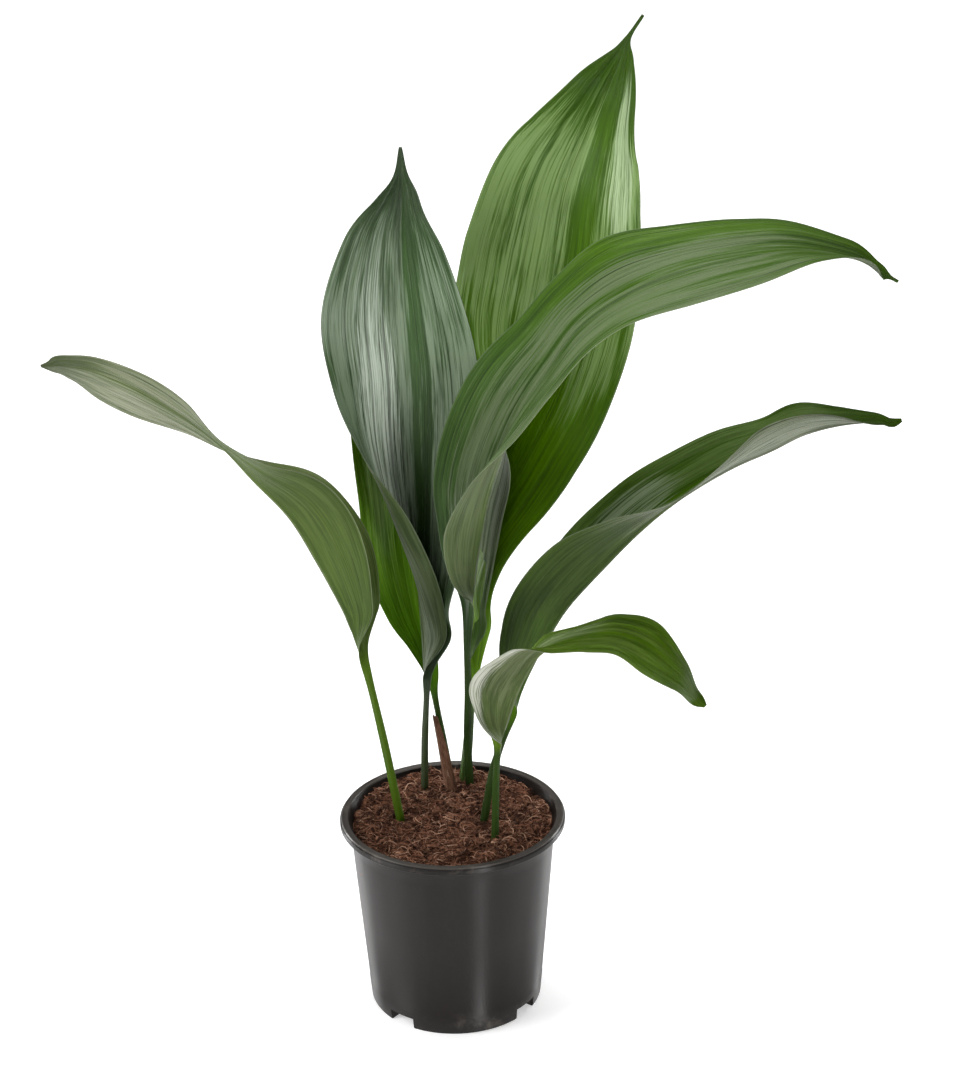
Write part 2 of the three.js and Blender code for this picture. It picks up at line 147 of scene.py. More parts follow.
def smooth_by_angle(made, degrees):
    """Smooth shading, but for the edges that turn by more than the angle."""
    shape = bmesh.new()
    shape.from_mesh(made.data)
    for face in shape.faces:
        face.smooth = True
    for edge in shape.edges:
        edge.smooth = len(edge.link_faces) == 2 and edge.calc_face_angle(0) < math.radians(degrees)
    shape.to_mesh(made.data)
    shape.free()


pot_profile = [
    (0, 0), (WALL_RADIUS_BASE - 0.0012, 0), (WALL_RADIUS_BASE - 0.0004, 0.0003), (WALL_RADIUS_BASE, 0.0011),
    (wall_radius(FOOT_LINE), FOOT_LINE), (wall_radius(FOOT_LINE + 0.0003) - 0.0002, FOOT_LINE + 0.0003),
    (wall_radius(0.06), 0.06), (wall_radius(0.11), 0.11), (wall_radius(WALL_TOP - 0.0008), WALL_TOP - 0.0008),
    (wall_radius(WALL_TOP) + 0.0006, WALL_TOP), (RIM_RADIUS - 0.0005, WALL_TOP),
    (RIM_RADIUS, WALL_TOP + 0.0005)]
# The rim's outer face, its bead and the groove inside the bead: how far in from the edge, how far down.
pot_profile += [(RIM_RADIUS - inwards, POT_HEIGHT - down) for inwards, down in (
    (0, 0.0019), (0.0002, 0.0015), (0.0007, 0.0014), (0.0008, 0.0006), (0.0011, 0.0001), (0.0016, 0),
    (0.0021, 0.0004), (0.0026, 0.0005))]
pot_profile += [(RIM_INNER_RADIUS + 0.0007, POT_HEIGHT - 0.0003), (RIM_INNER_RADIUS, POT_HEIGHT - 0.0009),
                (RIM_INNER_RADIUS - 0.0001, POT_HEIGHT - 0.0009), (0, POT_HEIGHT - 0.0009)]
cavity_profile = [
    (0, FLOOR), (wall_radius(FLOOR) - WALL - 0.001, FLOOR), (wall_radius(FLOOR) - WALL, FLOOR + 0.001),
    (wall_radius(WALL_TOP - 0.001) - WALL, WALL_TOP - 0.001), (RIM_INNER_RADIUS, POT_HEIGHT - 0.0025),
    (RIM_INNER_RADIUS, POT_HEIGHT + 0.001), (0, POT_HEIGHT + 0.001)]
cavity = take_out(turned("cavity", cavity_profile), notch_blocks("steps", WALL))
pot = take_out(turned("nursery_pot", pot_profile), cavity)
pot = take_out(pot, notch_blocks("notches", 0))
pot = take_out(pot, drain_rods("drains"))
smooth_by_angle(pot, POT_CREASE)


def add(tree, kind, sockets=None, **settings):
    """Adds a node with its settings, and its sockets set to values or joined to other nodes' outputs."""
    made = tree.nodes.new(kind)
    for name, value in settings.items():
        setattr(made, name, value)
    for name, value in (sockets or {}).items():
        if isinstance(value, bpy.types.NodeSocket):
            tree.links.new(value, made.inputs[name])
        else:
            made.inputs[name].default_value = value
    return made


def math_of(tree, operation, a, b=0.0, c=0.0, clamp=False):
    return add(tree, "ShaderNodeMath", {0: a, 1: b, 2: c}, operation=operation, use_clamp=clamp).outputs[0]


def span(tree, value, low, high, to_low=0.0, to_high=1.0):
    """The value brought smoothly from one span to another."""
    sockets = {0: value, 1: low, 2: high, 3: to_low, 4: to_high}
    return add(tree, "ShaderNodeMapRange", sockets, interpolation_type="SMOOTHSTEP").outputs[0]


def tint(tree, factor, a, b, how="MIX"):
    """Two colours mixed; each is a colour or another node's output."""
    a, b = ((*paint, 1) if isinstance(paint, tuple) else paint for paint in (a, b))
    return add(tree, "ShaderNodeMix", {0: factor, 6: a, 7: b}, data_type="RGBA", blend_type=how).outputs[2]


def cloud(tree, where, scale, detail=3.0, roughness=0.5):
    sockets = {"Vector": where, "Scale": scale, "Detail": detail, "Roughness": roughness}
    return add(tree, "ShaderNodeTexNoise", sockets).outputs[0]


def bumped(tree, strength, distance, height):
    sockets = {"Strength": strength, "Distance": distance, "Height": height}
    return add(tree, "ShaderNodeBump", sockets).outputs[0]


def new_material(name):
    """An empty material and its node tree."""
    made = bpy.data.materials.new(name)
    made.use_nodes = True
    made.node_tree.nodes.clear()
    return made, made.node_tree


def finish_material(tree, colour, roughness, normal, **plain):
    """Gives a material its shader: the made colour, roughness and normal, and plain values for the rest."""
    sockets = {"Base Color": colour, "Roughness": roughness, "Normal": normal}
    shader = add(tree, "ShaderNodeBsdfPrincipled", sockets)
    for socket, value in plain.items():
        shader.inputs[socket.replace("_", " ")].default_value = value
    add(tree, "ShaderNodeOutputMaterial", {0: shader.outputs[0]})
    return shader


# Faint flow marks run down the wall. Dust lies at the foot and on the rim, and the rim's flat top is a little
# paler, a painted highlight.
black_plastic, t = new_material("black_plastic")
place = add(t, "ShaderNodeTexCoord").outputs["Object"]
height = add(t, "ShaderNodeSeparateXYZ", {0: place}).outputs["Z"]
drawn = add(t, "ShaderNodeMapping", {"Vector": place, "Scale": (1, 1, 0.06)}).outputs[0]
at_rim = span(t, height, 0.1215, 0.1262, 0.0, 1.6)
at_ends = math_of(t, "ADD", span(t, height, 0.020, 0.0), at_rim, clamp=True)
dust = math_of(t, "MULTIPLY", span(t, cloud(t, place, 55, 6, 0.65), 0.52, 0.78), at_ends)
shade = tint(t, cloud(t, drawn, 90, 2), (0.0068, 0.0052, 0.0044), (0.0088, 0.0070, 0.0060))
shade = tint(t, math_of(t, "MULTIPLY", dust, 0.5), shade, DUST_AND_RIM_HIGHLIGHT)
# Painted highlight: the rim's flat top is mixed a little towards the pale dust colour, as if lit from above.
shade = tint(t, span(t, height, 0.1258, 0.1266, 0.0, 0.22), shade, DUST_AND_RIM_HIGHLIGHT)
gloss = span(t, cloud(t, drawn, 90, 4), 0.3, 0.7, 0.36, 0.42)
gloss = math_of(t, "ADD", gloss, math_of(t, "MULTIPLY", dust, 0.3))
finish_material(t, shade, gloss, bumped(t, 0.1, 0.0006, cloud(t, place, 900, 2)),
                Specular_IOR_Level=0.26, Anisotropic=0.9, Anisotropic_Rotation=0.25)
pot.data.materials.append(black_plastic)
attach(pot, "root")
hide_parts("pot")

# ---- The potting soil ----
# Loose coir fibre with a little bark, damp and brown, filling the pot to a few millimetres under its rim.
# A body with a rough top, and on it curled fibres and chips that lie in every direction.
SOIL_LEVEL = 0.120
SOIL_BASE = 0.100
SOIL_GAP = 0.0006
SOIL_RINGS = 96
SOIL_SIDES = 300
WAVES = 0.0009
CLODS = 0.0028
CRUMBS = 0.0012
HEAP = 0.005
FALL = 0.0012


def inside_wall(z, gap):
    """The radius that keeps this gap to the pot's inner wall at a height."""
    return wall_radius(z) - WALL - gap


def soil_height(x, y):
    """The rough top: low waves, clods and crumbs, heaped to the back and falling a little at the wall."""
    waves = math.sin(x * 310 + 1.3) * math.cos(y * 270 - 0.4) + 0.6 * math.sin(x * 530 - y * 470)
    clods = noise.fractal(Vector((x, y, 0.3)) * 95, 0.9, 2.1, 4)
    crumbs = noise.fractal(Vector((x, y, 2.7)) * 420, 0.8, 2.2, 3)
    heap = HEAP * (max(y, 0) / WALL_RADIUS_TOP) ** 2
    fall = FALL * (math.hypot(x, y) / WALL_RADIUS_TOP) ** 4
    return SOIL_LEVEL + WAVES * waves + CLODS * clods + CRUMBS * crumbs + heap - fall


def soil_ring(radius, height):
    """A ring of points about the pot's axis, each as high as the rule gives for its place."""
    angles = [2 * math.pi * side / SOIL_SIDES for side in range(SOIL_SIDES)]
    flat = [(radius * math.cos(a), radius * math.sin(a)) for a in angles]
    return [(x, y, height(x, y)) for x, y in flat]


def placed_faces(name, points, faces):
    """A mesh object in the scene from its points and faces."""
    mesh = bpy.data.meshes.new(name)
    mesh.from_pydata(points, [], faces)
    return placed(name, mesh)


soil_points = [(0, 0, soil_height(0, 0))]
for ring in range(1, SOIL_RINGS + 1):
    soil_points += soil_ring(inside_wall(SOIL_LEVEL, SOIL_GAP) * ring / SOIL_RINGS, soil_height)
soil_points += soil_ring(inside_wall(SOIL_BASE, SOIL_GAP), lambda x, y: SOIL_BASE)
soil_points.append((0, 0, SOIL_BASE))
soil_faces = []
lowest = 1 + SOIL_RINGS * SOIL_SIDES
for side in range(SOIL_SIDES):
    after = (side + 1) % SOIL_SIDES
    soil_faces.append((0, 1 + side, 1 + after))
    for ring in range(SOIL_RINGS):
        inner = 1 + ring * SOIL_SIDES
        outer = inner + SOIL_SIDES
        soil_faces.append((inner + side, outer + side, outer + after, inner + after))
    soil_faces.append((lowest + after, lowest + side, len(soil_points) - 1))
soil_bed = placed_faces("soil_bed", soil_points, soil_faces)
soil_bed.data.shade_smooth()

coir, t = new_material("coir")
place = add(t, "ShaderNodeTexCoord").outputs["Object"]
lumps = cloud(t, place, 130, 5, 0.6)
grain = cloud(t, place, 900, 4, 0.6)
shade = tint(t, span(t, lumps, 0.38, 0.62), (0.034, 0.013, 0.007), (0.205, 0.092, 0.050))
shade = tint(t, span(t, grain, 0.5, 0.7), shade, (0.230, 0.110, 0.062))
finish_material(t, shade, span(t, grain, 0.2, 0.8, 0.75, 0.95), bumped(t, 0.9, 0.0012, grain),
                Specular_IOR_Level=0.1)
soil_bed.data.materials.append(coir)
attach(soil_bed, "root")
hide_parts("soil")

# The loose pieces' own material: each has a tone from dark to pale, and dark stains run across them all.
shred, t = new_material("shred")
tone = add(t, "ShaderNodeAttribute", attribute_name="tone").outputs["Fac"]
place = add(t, "ShaderNodeTexCoord").outputs["Object"]
shade = tint(t, span(t, tone, 0.1, 0.75), (0.036, 0.013, 0.007), (0.250, 0.112, 0.064))
shade = tint(t, span(t, tone, 0.78, 1.0), shade, (0.520, 0.310, 0.210))
shade = tint(t, span(t, cloud(t, place, 150, 4), 0.52, 0.68, 0.0, 0.75), shade, (0.022, 0.008, 0.004))
gloss = span(t, tone, 0.0, 1.0, 0.85, 0.6)
finish_material(t, shade, gloss, bumped(t, 0.5, 0.0004, cloud(t, place, 1500, 2)), Specular_IOR_Level=0.15)


def new_tree(name, sizes):
    """A geometry tree with one geometry in and out, and a named input for each size."""
    tree = bpy.data.node_groups.new(name, "GeometryNodeTree")
    tree.interface.new_socket("Geometry", in_out="INPUT", socket_type="NodeSocketGeometry")
    tree.interface.new_socket("Geometry", in_out="OUTPUT", socket_type="NodeSocketGeometry")
    for size, value in sizes.items():
        kind = "NodeSocketInt" if isinstance(value, int) else "NodeSocketFloat"
        tree.interface.new_socket(size, in_out="INPUT", socket_type=kind)
    return tree, tree.nodes.new("NodeGroupInput").outputs, tree.nodes.new("NodeGroupOutput").inputs


def grow(base, name, tree, sizes):
    """A copy of the base object run through the tree with these sizes, as a plain mesh object."""
    made = placed(name, base.data.copy())
    growth = made.modifiers.new("growth", "NODES")
    growth.node_group = tree
    for socket in tree.interface.items_tree:
        if socket.name in sizes:
            growth[socket.identifier] = sizes[socket.name]
    return plain_mesh(made, name)


def random_number(tree, low, high, seed):
    return add(tree, "FunctionNodeRandomValue", {2: low, 3: high, "Seed": seed}, data_type="FLOAT").outputs[1]


def random_vector(tree, low, high, seed):
    sockets = {0: low, 1: high, "Seed": seed}
    return add(tree, "FunctionNodeRandomValue", sockets, data_type="FLOAT_VECTOR").outputs[0]


def curled_fibres(tree, given):
    """Five kinds of coir fibre: each is a thin three-sided strand, bent aside and lifted in its middle."""
    strands = []
    length = given["Length"]
    half = math_of(tree, "MULTIPLY", length, 0.5)
    start = add(tree, "ShaderNodeCombineXYZ", {0: math_of(tree, "MULTIPLY", half, -1)}).outputs[0]
    end = add(tree, "ShaderNodeCombineXYZ", {0: half}).outputs[0]
    ring = add(tree, "GeometryNodeCurvePrimitiveCircle", {
        "Resolution": 3, "Radius": given["Radius"]}).outputs[0]
    for bend, lift in ((1.3, 0.0), (0.12, 0.6), (-0.6, 0.2), (0.35, 0.35), (0.9, 0.1)):
        aside, up = (math_of(tree, "MULTIPLY", length, far) for far in (bend, lift))
        middle = add(tree, "ShaderNodeCombineXYZ", {1: aside, 2: up}).outputs[0]
        arc = add(tree, "GeometryNodeCurveQuadraticBezier", {
            "Resolution": 4, "Start": start, "Middle": middle, "End": end}).outputs[0]
        strands.append(add(tree, "GeometryNodeCurveToMesh", {
            "Curve": arc, "Profile Curve": ring, "Fill Caps": True}).outputs[0])
    return strands


def bark_chips(tree, given):
    """Three kinds of bark chip: a dented lump, flattened and drawn out."""
    lumps = []
    for k, stretch in enumerate(((1.0, 0.55, 0.28), (0.8, 0.7, 0.35), (1.3, 0.35, 0.2))):
        lump = add(tree, "GeometryNodeMeshIcoSphere", {"Radius": given["Size"], "Subdivisions": 1}).outputs[0]
        dents = random_vector(tree, (-CHIP_DENT,) * 3, (CHIP_DENT,) * 3, 21 + k)
        rough = add(tree, "GeometryNodeSetPosition", {0: lump, "Offset": dents}).outputs[0]
        lumps.append(add(tree, "GeometryNodeTransform", {0: rough, "Scale": stretch}).outputs[0])
    return lumps


def scattered(name, shapes, sizes, tilt, scales, sink):
    """One piece: copies of the shapes on the soil's upward faces, turned every way, each with a tone."""
    tree, given, result = new_tree(name, sizes)
    normal = add(tree, "GeometryNodeInputNormal").outputs[0]
    steep = add(tree, "ShaderNodeSeparateXYZ", {0: normal}).outputs["Z"]
    facing_up = add(tree, "FunctionNodeCompare", {0: steep, 1: UPWARD}, operation="GREATER_THAN").outputs[0]
    points = add(tree, "GeometryNodeDistributePointsOnFaces", {
        "Mesh": given["Geometry"], "Selection": facing_up, "Density": given["Density"],
        "Seed": given["Seed"]})
    kinds = add(tree, "GeometryNodeGeometryToInstance")
    for shape in shapes(tree, given):
        tree.links.new(shape, kinds.inputs[0])
    copies = add(tree, "GeometryNodeInstanceOnPoints", {
        "Points": points.outputs["Points"], "Instance": kinds.outputs[0], "Pick Instance": True,
        "Rotation": random_vector(tree, (-tilt, -tilt, 0.0), (tilt, tilt, 2 * math.pi), 3),
        "Scale": random_number(tree, *scales, 5)})
    sunk = add(tree, "GeometryNodeTranslateInstances", {
        "Instances": copies.outputs[0], "Translation": (0, 0, sink), "Local Space": False})
    toned = add(tree, "GeometryNodeStoreNamedAttribute", {
        "Geometry": sunk.outputs[0], "Name": "tone", 3: random_number(tree, 0.0, 1.0, 11)},
                data_type="FLOAT", domain="INSTANCE")
    real = add(tree, "GeometryNodeRealizeInstances", {0: toned.outputs[0]}).outputs[0]
    dressed = add(tree, "GeometryNodeSetMaterial", {0: real, "Material": shred}).outputs[0]
    tree.links.new(dressed, result["Geometry"])
    made = grow(soil_bed, name, tree, sizes)
    reach = inside_wall(SOIL_LEVEL, LITTER_GAP)
    for vertex in made.data.vertices:
        far = math.hypot(*vertex.co.xy)
        if far > reach:
            vertex.co.xy = vertex.co.xy * (reach / far)
    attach(made, "root")


# Fibres and chips over the top of the soil, so many to a square metre, kept just inside the wall. A tilt is
# in radians, and the scales are those of the smallest and the largest copy.
CHIP_DENT = 0.0006
LITTER_GAP = 0.0003
UPWARD = 0.2
scattered("soil_fibres", curled_fibres, {"Density": 356000.0, "Length": 0.0090, "Radius": 0.00024, "Seed": 7},
          tilt=0.45, scales=(0.35, 1.25), sink=0.0002)
scattered("soil_chips", bark_chips, {"Density": 220000.0, "Size": 0.0032, "Seed": 12},
          tilt=0.5, scales=(0.25, 1.0), sink=-0.0003)

# ---- The leaves ----
# Each leaf is one growth: a slim stalk from the soil that widens into a long pointed blade, with a midrib and
# close parallel veins. Its edges are thin and a little waved, and each of its sides has a skin of its own.
# Lengths here are in millimetres. SKIN is half the blade's thickness, the cores are the stalk's radii.
MILLIMETRE = 0.001
ROOT_DEPTH = 26
ROWS = 170
HALF_COLUMNS = 44
SKIN = 0.36
STALK_CORE = 2.3
TIP_CORE = 0.5
BLADE_START = 3
FULL_BLADE = 14
PLEAT_DEPTH = 0.1925
PLEAT_WIDTH = 0.4
VEIN_DEPTH = 0.28
FINE_VEIN_DEPTH = 0.13

# A station gives the midrib's x, y, z and the blade's half width, then the left half's turn and curl and the
# right half's, in degrees: 0 lies sideways, 90 comes forwards. A wave says how far the edge ripples, how
# often along the leaf, and where the first ripple starts.
LEAVES = {
    "leaf_left_arching": {
        "wave": (1.6, 4.5, 0.2),
        "stations": [
            (-32, 2, 118, 2.6, 0, 0, 0, 0), (-41, 6, 172, 2.5, 0, 0, 0, 0),
            (-49, 10, 213, 2.4, 0, 0, 0, 0), (-54, 13, 234, 5, 80, 0, 0, 0),
            (-59, 15, 248, 16, 145, 0, 0, 0), (-64, 18, 260, 25, 155, 0, -10, 0),
            (-78, 24, 287, 36, 158, 0, -30, 0), (-94, 30, 314, 37, 157, 0, -45, 0),
            (-115, 36, 336, 36, 130, 0, -80, 0), (-134, 42, 356, 35, 114, 0, -113, 0),
            (-156, 48, 372, 33, 122, 0, -125, 0), (-183, 53, 388, 30, 129, 0, -138, 0),
            (-209, 57, 399, 24, 135, 0, -145, 0), (-227, 59, 403, 14, 135, 0, -145, 0),
            (-236, 60, 403, 6, 135, 0, -145, 0), (-242, 60, 403, 1.2, 135, 0, -145, 0)],
    },
    "leaf_upright_front": {
        "wave": (0.8, 3.5, 0.1),
        "stations": [
            (-18, 41, 118, 2.4, 0, 0, 0, 0), (-17, 40, 157, 2.2, 0, 0, 0, 0),
            (-15, 41, 192, 2.1, 10, 0, 10, 0), (-15, 42, 207, 6, 85, 0, 30, 0),
            (-16, 43, 227, 19, 132, 40, 28, 0), (-17, 44, 250, 26, 130, 100, 50, 0),
            (-18, 45, 278, 33, 114, 140, 43, 0), (-19, 46, 318, 43, 82, 170, 44, 20),
            (-20, 47, 357, 49, 44, 120, 30, 20), (-20, 48, 394, 50, 17, 55, 33, 30),
            (-22, 49, 437, 50, 5, 25, 42, 20), (-23, 50, 479, 35, 10, 10, 44, 0),
            (-22, 51, 503, 17, 15, 0, 45, 0), (-22, 52, 517, 5, 10, 0, 20, 0),
            (-22, 53, 534, 0.9, 0, 0, 0, 0)],
    },
    "leaf_short_rear": {
        "wave": (1.2, 3, 0.4),
        "stations": [
            (1, 36, 118, 2.2, 0, 0, 0, 0), (-5, 42, 154, 2.1, 0, 0, 0, 0), (-10, 48, 183, 2, 0, 0, 0, 0),
            (-12, 51, 200, 5, 20, 0, 20, 0), (-17, 55, 218, 10, 20, 0, 20, 0),
            (-23, 62, 237, 17, 15, 0, 15, 0), (-28, 66, 269, 23.5, 10, 0, 15, 0),
            (-31, 70, 307, 24, 10, 20, 10, 20), (-34, 72, 341, 24, 10, 20, 10, 20),
            (-35, 74, 381, 24, 10, 20, 10, 20), (-36, 75, 416, 17, 10, 0, 10, 0),
            (-35, 76, 444, 8, 10, 0, 10, 0), (-35, 76, 464, 0.9, 0, 0, 0, 0)],
    },
    "leaf_tall_rear": {
        "wave": (1.2, 4, 0.6),
        "stations": [
            (8, 52, 118, 2.5, 0, 0, 0, 0), (11, 54, 149, 2.3, 0, 0, 0, 0), (13, 56, 177, 2.2, 0, 0, 0, 0),
            (14, 57, 198, 5, 60, 0, 20, 0), (12, 62, 221, 15, 130, 0, 21, -60),
            (12, 65, 243, 24, 119, 0, 50, -90), (15.5, 68, 268, 33, 109, 0, 59, -70),
            (23.5, 72, 307, 45, 100, 10, 48, -30), (40.5, 76, 347, 53, 84, 20, 43, -20),
            (55, 79, 385, 57, 38, 10, 39, 0), (66, 81, 426, 60, -2, 0, 38, 0),
            (73, 82, 463, 59, -4, 0, 42, 0), (79, 83, 500, 51, 0, 0, 42, 0),
            (89, 85, 530, 38, 5, 0, 42, 0), (99, 80, 558, 23, 10, 0, 42, 0),
            (107, 83, 577, 9, 0, 0, 30, 0), (111, 85, 588, 2, 0, 0, 10, 0),
            (120, 88, 601, 0.9, 0, 0, 0, 0)],
    },
    "leaf_right_arching": {
        "wave": (1.8, 4.5, 0.3),
        "stations": [
            (11, 42, 118, 2.6, 0, 0, 0, 0), (10, 36, 159, 2.4, 0, 0, 0, 0), (11, 30, 195, 2.3, 0, 0, 0, 0),
            (11, 25, 230, 2.2, 0, 0, 0, 0), (13, 20, 258, 5, 0, 0, 60, 0),
            (15, 18, 272, 12, -20, 0, 130, 0), (17, 12, 290, 20, -5, 0, 145, 0),
            (21, 4, 316, 28, -10, 0, 138, 0), (25, -2, 339, 34, -16, 0, 124, 0),
            (33, -8, 366, 38, -25, 0, 113, 0), (45, -13, 396, 41, -38, 0, 95, 0),
            (61, -17, 423, 43, -55, 0, 88, 0), (78, -20, 448, 44, -62, 0, 83, 0),
            (103, -22, 467, 44, -60, 0, 83, 0), (135, -22, 481, 43, -73, 0, 79, 0),
            (173, -20, 488, 40, -75, 0, 83, 0), (202, -16, 488, 34, -74, 0, 94, 0),
            (233, -10, 481, 20, -75, 0, 100, 0), (248, -5, 472, 8, -70, 0, 80, 0),
            (254, -3, 468, 1.8, -30, 0, 30, 0), (260, 0, 464, 0.9, 0, 0, 0, 0)],
    },
    "leaf_right_folded": {
        "wave": (1.8, 4.5, 0.8),
        "stations": [
            (19, -1, 118, 2.5, 0, 0, 0, 0), (26, -3, 159, 2.4, 0, 0, 0, 0),
            (36, -2, 189, 2.4, 0, 0, 30, 0), (42, -1, 209, 10, -40, 0, 120, 0),
            (49, -1, 226, 22, -60, 0, 150, 0), (58, -2, 244, 31, -60, 0, 161, 0),
            (71, -4, 267, 38, -60, 0, 162, 0), (91, -7, 292, 38, -53, 0, 158, 0),
            (114, -10, 318, 36, -56, 0, 134, 0), (137, -13, 339, 37, -68, 0, 114, 0),
            (165, -16, 358, 38, -72, 0, 118, 0), (189, -18, 370, 34, -74, 0, 131, 0),
            (207, -20, 380, 28, -72, 0, 133, 0), (227, -22, 386, 19, -80, 0, 130, 0),
            (247, -23, 388, 9, -70, 0, 100, 0), (255, -24, 387, 4, -50, 0, 80, 0),
            (262, -24, 389, 1, 0, 0, 0, 0)],
    },
    "leaf_right_low": {
        "wave": (1.2, 3.5, 0.5),
        "stations": [
            (26, -24, 118, 2.3, 0, 0, 0, 0), (27, -27, 157, 2.1, 0, 0, 0, 0),
            (28, -33, 181, 2, 0, 0, 0, 0), (29, -36, 194, 4, -10, 0, 60, 0),
            (34, -40, 211, 19, -50, 0, 170, 0), (39, -44, 228, 28, -80, 0, 173, 0),
            (45, -49, 244, 26, -95, 0, 166, 0), (53, -55, 260, 22, -100, 0, 146, 0),
            (66, -60, 270, 20, -98, 0, 106, 0), (83, -64, 275, 25, -90, 0, 96, 0),
            (99, -67, 276, 25, -80, 0, 86, 0), (116, -70, 269, 23, -69, 0, 71, 0),
            (134, -73, 254, 13, -72, 0, 60, 0), (142, -75, 241, 6, -60, 0, 50, 0),
            (148, -76, 235, 1.2, 0, 0, 0, 0)],
    },
}


def with_root(stations):
    """The stations with one more in front, straight down the stalk's line into the soil."""
    first, second = np.array(stations[0], float), np.array(stations[1], float)
    down = (first - second)[:3]
    first[:3] += down / np.linalg.norm(down) * ROOT_DEPTH
    return np.vstack([first, np.array(stations, float)])


def stations_at(stations, t):
    """All of a station's values at each t, on one smooth curve through the stations."""
    p = np.vstack([2 * stations[0] - stations[1], stations, 2 * stations[-1] - stations[-2]])
    place = np.clip(t, 0, 1) * (len(stations) - 1)
    k = np.minimum(place.astype(int), len(stations) - 2)
    f = (place - k)[:, None]
    p0, p1, p2, p3 = p[k], p[k + 1], p[k + 2], p[k + 3]
    return p1 + 0.5 * f * (p2 - p0 + f * (2 * p0 - 5 * p1 + 4 * p2 - p3 + f * (3 * (p1 - p2) + p3 - p0)))


def unit(vectors):
    return vectors / np.linalg.norm(vectors, axis=-1, keepdims=True)


def frames_at(stations, t):
    """Where the midrib is at each t, and the directions to the front and across it there."""
    along = unit(stations_at(stations, t + 1e-3)[:, :3] - stations_at(stations, t - 1e-3)[:, :3])
    front = np.array([0.0, -1.0, 0.0])
    front = unit(front - along * (along @ front)[:, None])
    return stations_at(stations, t)[:, :3], front, np.cross(along, front)


def drifting(seed, columns, rows, u, t):
    """Smooth random ridges: so many across the blade, changing slowly along it."""
    grid = np.random.default_rng(seed).uniform(-1, 1, (rows + 2, columns + 2))
    x, y = u * columns, t * rows
    i, j = np.floor(x).astype(int), np.floor(y).astype(int)
    fx, fy = x - i, y - j
    fx, fy = fx * fx * (3 - 2 * fx), fy * fy * (3 - 2 * fy)
    low = grid[j, i] * (1 - fx) + grid[j, i + 1] * fx
    high = grid[j + 1, i] * (1 - fx) + grid[j + 1, i + 1] * fx
    return low * (1 - fy) + high * fy


def closed_sheet(name, upper, under):
    """A thin closed body from the rows of points on its two sides, upper faces first, with its own UV map."""
    rows, width = len(upper) - 1, upper.shape[1]
    points = np.concatenate([upper, under], 1).reshape(-1, 3) * MILLIMETRE
    top = np.arange(rows + 1)[:, None] * 2 * width + np.arange(width)
    low = top + width
    quads = [np.stack(corners, -1).reshape(-1, 4) for corners in (
        (top[:-1, :-1], top[:-1, 1:], top[1:, 1:], top[1:, :-1]),
        (low[:-1, :-1], low[1:, :-1], low[1:, 1:], low[:-1, 1:]),
        (low[:-1, 0], top[:-1, 0], top[1:, 0], low[1:, 0]),
        (top[:-1, -1], low[:-1, -1], low[1:, -1], top[1:, -1]),
        (top[0, :-1], low[0, :-1], low[0, 1:], top[0, 1:]),
        (top[-1, :-1], top[-1, 1:], low[-1, 1:], low[-1, :-1]))]
    made = placed_faces(name, points.tolist(), np.concatenate(quads).tolist())
    at = np.empty(len(made.data.loops), int)
    made.data.loops.foreach_get("vertex_index", at)
    places = np.stack([at % width / (width - 1), at // (2 * width) / rows], -1)
    made.data.uv_layers.new(name="blade").uv.foreach_set("vector", places.ravel())
    return made


def half_blade(leaf, values, t, side, seed):
    """Half a blade, from the midrib out: offsets across and to the front, normals, and the relief's lift."""
    half = values[:, 3:4]
    turn, curl = np.radians(values[:, 4:6] if side < 0 else values[:, 6:8]).T[..., None]
    s = np.arange(HALF_COLUMNS + 1) / HALF_COLUMNS
    steps = turn + curl * ((np.arange(HALF_COLUMNS) + 0.5) / HALF_COLUMNS - 0.5)
    midrib = np.zeros((ROWS + 1, 1))
    a = side * np.hstack([midrib, np.cumsum(np.cos(steps), axis=1)]) * half / HALF_COLUMNS
    b = np.hstack([midrib, np.cumsum(np.sin(steps), axis=1)]) * half / HALF_COLUMNS
    angle = turn + curl * (s - 0.5)
    normal = np.stack([-side * np.sin(angle), np.cos(angle)], -1)
    height, count, start = leaf["wave"]
    ripple = height * s ** 2 * np.sin(2 * np.pi * (count * t + start) + side * 0.9)
    ends = np.sin(np.pi * s) ** 0.5
    pleats = -PLEAT_DEPTH * np.cos(2 * np.pi * s / PLEAT_WIDTH) * ends
    u = 0.5 + 0.5 * side * s
    ridges = VEIN_DEPTH * drifting(seed, 26, 5, u, t) + FINE_VEIN_DEPTH * drifting(seed + 50, 70, 6, u, t)
    blade = np.clip((half - BLADE_START) / FULL_BLADE, 0, 1)
    return a, b, normal, blade * (ripple + pleats + ridges * ends)


